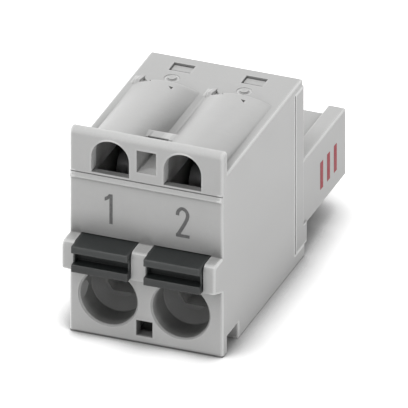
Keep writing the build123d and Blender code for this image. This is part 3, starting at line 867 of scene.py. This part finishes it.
# Painted light and shade on the carrier: its right side darker, the rails lighter.
CARRIER_PAINTED_LIGHT_AND_SHADE = (
    ("right side", False,
     (5.0, 5.15, 6.0, 7.0), (0.0, 0.1, 30.0, 31.0), (-1.0, 0.0, 98.0, 99.0), 0.9),
    ("rails of the tail", False,
     EVERYWHERE, (15.0, 15.1, 30.0, 31.0), (6.9, 7.0, 7.5, 7.6), 1.06),
)
# Painted shade on the lips of the buttons.
BUTTON_PAINTED_LIGHT_AND_SHADE = (
    ("lower lips", False,
     EVERYWHERE, (-2.1, -2.05, -1.7, -1.6), (5.4, 5.45, 6.0, 6.08), 0.45),
    ("upper lips", False,
     EVERYWHERE, (-2.1, -2.05, -1.95, -1.9), (6.9, 6.95, 7.35, 7.4), 0.75),
)

paint_light_and_shade(housing_finish, HOUSING_PAINTED_LIGHT_AND_SHADE)
paint_light_and_shade(carrier_finish, CARRIER_PAINTED_LIGHT_AND_SHADE)
paint_light_and_shade(button_finish, BUTTON_PAINTED_LIGHT_AND_SHADE)
print("places with a tone of their own:", len(HOUSING_PAINTED_LIGHT_AND_SHADE) + len(CARRIER_PAINTED_LIGHT_AND_SHADE) + len(BUTTON_PAINTED_LIGHT_AND_SHADE))

# %% [markdown]
# **Metal.** The contacts are copper strip with a tin plating, and the springs
# are bright steel. Both are stamped from rolled strip, so the rolling lines run
# along them, and the plating ends at the sheared sides, where copper shows.

# %% Finish: tinned copper and spring steel
METAL_EDGE = 0.04
METAL_RELIEF = 0.0003
METAL_GLOSS = (0.35, 0.45)
LINE_SHARE = 0.6
COPPER = (0.72, 0.42, 0.28, 1.0)
COPPER_SHARE = 0.7
SHEARED_FROM = 0.95


def rolled_metal(name, colour, line_colour, lines):
    """Rolled strip with fine lines along its length."""
    finish, tree, shader = new_finish(name)
    streaks = place_group(tree, STREAKS, Lines_per_mm=lines)
    edges = place_group(tree, SOFT_EDGES, Radius=METAL_EDGE * MM)
    in_lines = streaks.outputs["Lines"]
    drawn = colour_mix(tree, in_lines, (*colour, 1.0), (*line_colour, 1.0), LINE_SHARE)
    tree.links.new(drawn, shader.inputs["Base Color"])
    roughness = noise_to(tree, streaks.outputs["Height"], *METAL_GLOSS)
    tree.links.new(roughness, shader.inputs["Roughness"])
    bump(tree, shader, streaks.outputs["Height"], edges, METAL_RELIEF)
    shader.inputs["Metallic"].default_value = 1.0
    return finish


def bare_sides(finish):
    """Lets the copper show on the sheared sides of a plated strip."""
    tree, shader, plating = open_finish(finish)
    shape = tree.nodes.new("ShaderNodeNewGeometry")
    way = axis_parts(tree, shape.outputs["True Normal"])
    sideways = math_node(tree, "ABSOLUTE", way["X"])
    sheared = math_node(tree, "GREATER_THAN", sideways, SHEARED_FROM)
    shown = colour_mix(tree, sheared, plating, COPPER, COPPER_SHARE)
    tree.links.new(shown, shader.inputs["Base Color"])


contact_finish = rolled_metal("tinned_copper", (0.72, 0.70, 0.66), (0.62, 0.60, 0.56), lines=5.0)
bare_sides(contact_finish)
spring_finish = rolled_metal("spring_steel", (0.6, 0.6, 0.61), (0.52, 0.52, 0.54), lines=6.0)
print("metals:", [f.name for f in (contact_finish, spring_finish)])

# %% [markdown]
# ## Finishes on the solids
# Each solid gets the finish of its kind, found by the beginning of its name.
# Both contacts share one finish, and all the springs share another.

# %% Put the finishes on the solids
FINISHES = {
    "housing": housing_finish,
    "contact_carrier": carrier_finish,
    "release_button": button_finish,
    "contact": contact_finish,
    "clamp_spring": spring_finish,
    "over_spring": spring_finish,
}


def finish_for(node):
    """The finish whose name the node's name starts with; the longest name wins."""
    names = [n for n in FINISHES if node.startswith(n)]
    return FINISHES[max(names, key=len)]


for node, piece in frame["nodes"].items():
    piece.data.materials.clear()
    piece.data.materials.append(finish_for(node))
print("finished nodes:", len(frame["nodes"]))

# %% [markdown]
# ## The printing
# Each pole has its number on the front. Printing ink lies on the plastic as a
# film of a few hundredths of a millimetre, so each number is a thin solid with
# the outline of its strokes, laid on the face.

# %% Finish: printing ink
INK_DRIFT = 0.08
INK_PATCHES = 1.2
INK_PEBBLES = 10.0
INK_EDGE = 0.02
INK_GLOSS = (0.55, 0.7)
INK_RELIEF = 0.004
THIN_SHARE = 0.35


def printing_ink(name, colour, thin_colour):
    """Ink that covers unevenly and is more matt than the plastic."""
    finish, tree, shader = new_finish(name)
    tone = place_group(
        tree, DRIFT, Color=(*colour, 1.0), Amount=INK_DRIFT, Patches_per_mm=INK_PATCHES)
    skin = place_group(tree, SPARK, Pebbles_per_mm=INK_PEBBLES)
    edges = place_group(tree, SOFT_EDGES, Radius=INK_EDGE * MM)
    spots = skin.outputs["High spots"]
    thin = colour_mix(tree, spots, tone.outputs["Color"], (*thin_colour, 1.0), THIN_SHARE)
    tree.links.new(thin, shader.inputs["Base Color"])
    tree.links.new(noise_to(tree, tone.outputs["Drift"], *INK_GLOSS), shader.inputs["Roughness"])
    bump(tree, shader, skin.outputs["Height"], edges, INK_RELIEF)
    return finish


grey_ink = printing_ink("grey_ink", (0.13, 0.13, 0.13), (0.3, 0.3, 0.3))
red_ink = printing_ink("red_ink", (0.37, 0.035, 0.05), (0.45, 0.1, 0.11))
print("inks:", [f.name for f in (grey_ink, red_ink)])

# %% Outlines of the numbers
STROKE = 0.235


def smooth_line(points, steps=6):
    """Points of a smooth line through the given ones."""
    ends = [points[0], *points, points[-1]]
    line = []
    for p0, p1, p2, p3 in zip(ends[:-3], ends[1:-2], ends[2:-1], ends[3:]):
        for i in range(steps):
            t = i / steps
            line.append(0.5 * (2 * p1 + (p2 - p0) * t + (2 * p0 - 5 * p1 + 4 * p2 - p3) * t * t
                               + (3 * p1 - p0 - 3 * p2 + p3) * t ** 3))
    return line + [points[-1]]


def beside(line, distance):
    """The line, moved sideways to its left by the distance."""
    moved = []
    for i, p in enumerate(line):
        way = (line[min(i + 1, len(line) - 1)] - line[max(i - 1, 0)]).normalized()
        moved.append(p + Vector((-way.y, way.x)) * distance)
    return moved


def outline_of_one(x, z):
    """The number 1 with its foot's middle at x, z: a stem and a short curved flag."""
    half = STROKE / 2 - 0.01
    return [Vector((x + dx, z + dz)) for dx, dz in (
        (-half, 0), (half, 0), (half, 2.21), (-half - 0.03, 2.21), (-0.25, 2.05), (-0.44, 1.93),
        (-0.44, 1.67), (-0.25, 1.77), (-half, 1.9))]


def outline_of_two(x, z):
    """The number 2 with its foot's left corner at x, z; its curve stops above the foot."""
    spine = smooth_line([Vector((x + dx, z + dz)) for dx, dz in (
        (0.1, 1.6), (0.14, 1.87), (0.36, 2.115), (0.63, 2.06), (0.8, 1.8), (0.79, 1.5),
        (0.66, 1.15), (0.41, 0.66), (0.2, 0.27))])
    foot = [Vector((x + dx, z + dz)) for dx, dz in (
        (0.335, 0.225), (0.95, 0.225), (0.95, 0), (0, 0), (0, 0.22))]
    outer = [p for p in beside(spine, STROKE / 2) if p.y > z + 0.26]
    inner = [p for p in beside(spine, -STROKE / 2) if p.y > z + 0.3]
    return outer + foot + inner[::-1]


print("points in the outline of the number 2:", len(outline_of_two(0, 0)))

# %% [markdown]
# An outline becomes a thin solid in mesh code: one face, pushed out by the
# thickness of the ink. Its back lies just inside the plastic, so no gap shows.
# The ink moves with the body that holds the housing, the only one that is not a
# button.

# %% Lay the numbers on the front
INK_PROUD = 0.012
INK_SUNK = 0.01
FORWARD = Vector((0, -1, 0))
PLACE_OF_ONE = (-2.48, 8.49)
PLACE_OF_TWO = (2.09, 8.47)


def lay_ink(name, outlines, to_place, out_way, ink, body):
    """Thin solids from flat outlines in mm; to_place gives each point's place."""
    mesh = bpy.data.meshes.new(name)
    work = bmesh.new()
    for outline in outlines:
        low = [work.verts.new((to_place(p) - out_way * INK_SUNK) * MM) for p in outline]
        base = work.faces.new(low)
        pushed = bmesh.ops.extrude_face_region(work, geom=[base])["geom"]
        top = [v for v in pushed if isinstance(v, bmesh.types.BMVert)]
        bmesh.ops.translate(work, verts=top, vec=out_way * (INK_PROUD + INK_SUNK) * MM)
    bmesh.ops.recalc_face_normals(work, faces=work.faces)
    bmesh.ops.triangulate(work, faces=work.faces)
    work.to_mesh(mesh)
    work.free()
    mesh.materials.append(ink)
    piece = bpy.data.objects.new(name, mesh)
    bpy.context.scene.collection.objects.link(piece)
    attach(piece, body)
    print(name, "triangles:", len(mesh.polygons))
    return piece


BODY = next(name for name in frame["bodies"] if not name.startswith("button"))


def on_front(p):
    """Place on the front face for a point (x, z)."""
    return Vector((p.x, FACE_Y, p.y))


lay_ink("number_1", [outline_of_one(*PLACE_OF_ONE)], on_front, FORWARD, grey_ink, BODY)
lay_ink("number_2", [outline_of_two(*PLACE_OF_TWO)], on_front, FORWARD, grey_ink, BODY)

# %% [markdown]
# The right side of the tail has a plain red mark, three upright bars, as a
# colour code for the plug's kind.

# %% Lay the red mark on the tail
TAIL_X = 5.24
RIGHTWARD = Vector((1, 0, 0))
BAR_STARTS = (7.75, 9.0, 10.25)
BAR_LOW = 3.3
BAR_WIDTH = 0.5
BAR_HEIGHT = 2.0


def on_tail(p):
    """Place on the right side of the tail for a point (y, z)."""
    return Vector((TAIL_X, p.x, p.y))


def bar(y, z, width, height):
    """Outline of an upright bar."""
    corners = ((y, z), (y + width, z), (y + width, z + height), (y, z + height))
    return [Vector(corner) for corner in corners]


bars = [bar(y, BAR_LOW, BAR_WIDTH, BAR_HEIGHT) for y in BAR_STARTS]
lay_ink("red_mark", bars, on_tail, RIGHTWARD, red_ink, BODY)

# %% [markdown]
# ## Behind the seam
# On each side a thin lip of the carrier closes the seam between the housing's
# wall and the flange, so that the seam is a dark groove and nobody looks
# through the plug. The lip is a strip with rounded edges, and it stands about
# half a millimetre behind the side face.

# %% Close the seam behind the side faces
SEAM_FRONT = 2.833
SEAM_REAR = 3.027
SEAM_LOW = 0.93
SEAM_HIGH = 12.73
LIP_INNER = 4.6
LIP_OUTER = 4.85
LIP_ROUND = 0.04
ROUND_STEPS = 2


def add_seam_lip(name, side):
    """Strip in the seam of one side; side is -1 for the left and 1 for the right."""
    mesh = bpy.data.meshes.new(name)
    work = bmesh.new()
    bmesh.ops.create_cube(work, size=1.0)
    middle = Vector((
        side * (LIP_INNER + LIP_OUTER) / 2,
        (SEAM_FRONT + SEAM_REAR) / 2,
        (SEAM_LOW + SEAM_HIGH) / 2,
    ))
    size = Vector((LIP_OUTER - LIP_INNER, SEAM_REAR - SEAM_FRONT, SEAM_HIGH - SEAM_LOW))
    for corner in work.verts:
        corner.co = (middle + corner.co * size) * MM
    bmesh.ops.bevel(
        work, geom=work.edges[:], offset=LIP_ROUND * MM,
        segments=ROUND_STEPS, profile=0.5, affect="EDGES",
    )
    work.to_mesh(mesh)
    work.free()
    mesh.materials.append(carrier_finish)
    lip = bpy.data.objects.new(name, mesh)
    bpy.context.scene.collection.objects.link(lip)
    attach(lip, BODY)
    return lip


for side, name in ((-1, "seam_lip_left"), (1, "seam_lip_right")):
    lip = add_seam_lip(name, side)
    print(name, "size in mm:", [round(v / MM, 2) for v in lip.dimensions])

# %% [markdown]
# ## The last check
# The visual model has to keep the size of the drawing. Both boxes are measured,
# and the largest difference between them is printed.

# %% Compare the boxes and finish
seen_low, seen_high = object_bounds()
cad_ends, seen_ends = (*cad_low, *cad_high), (*seen_low, *seen_high)
largest = max(abs(a - b) for a, b in zip(cad_ends, seen_ends))
print("largest difference in mm:", round(largest / MM, 4))
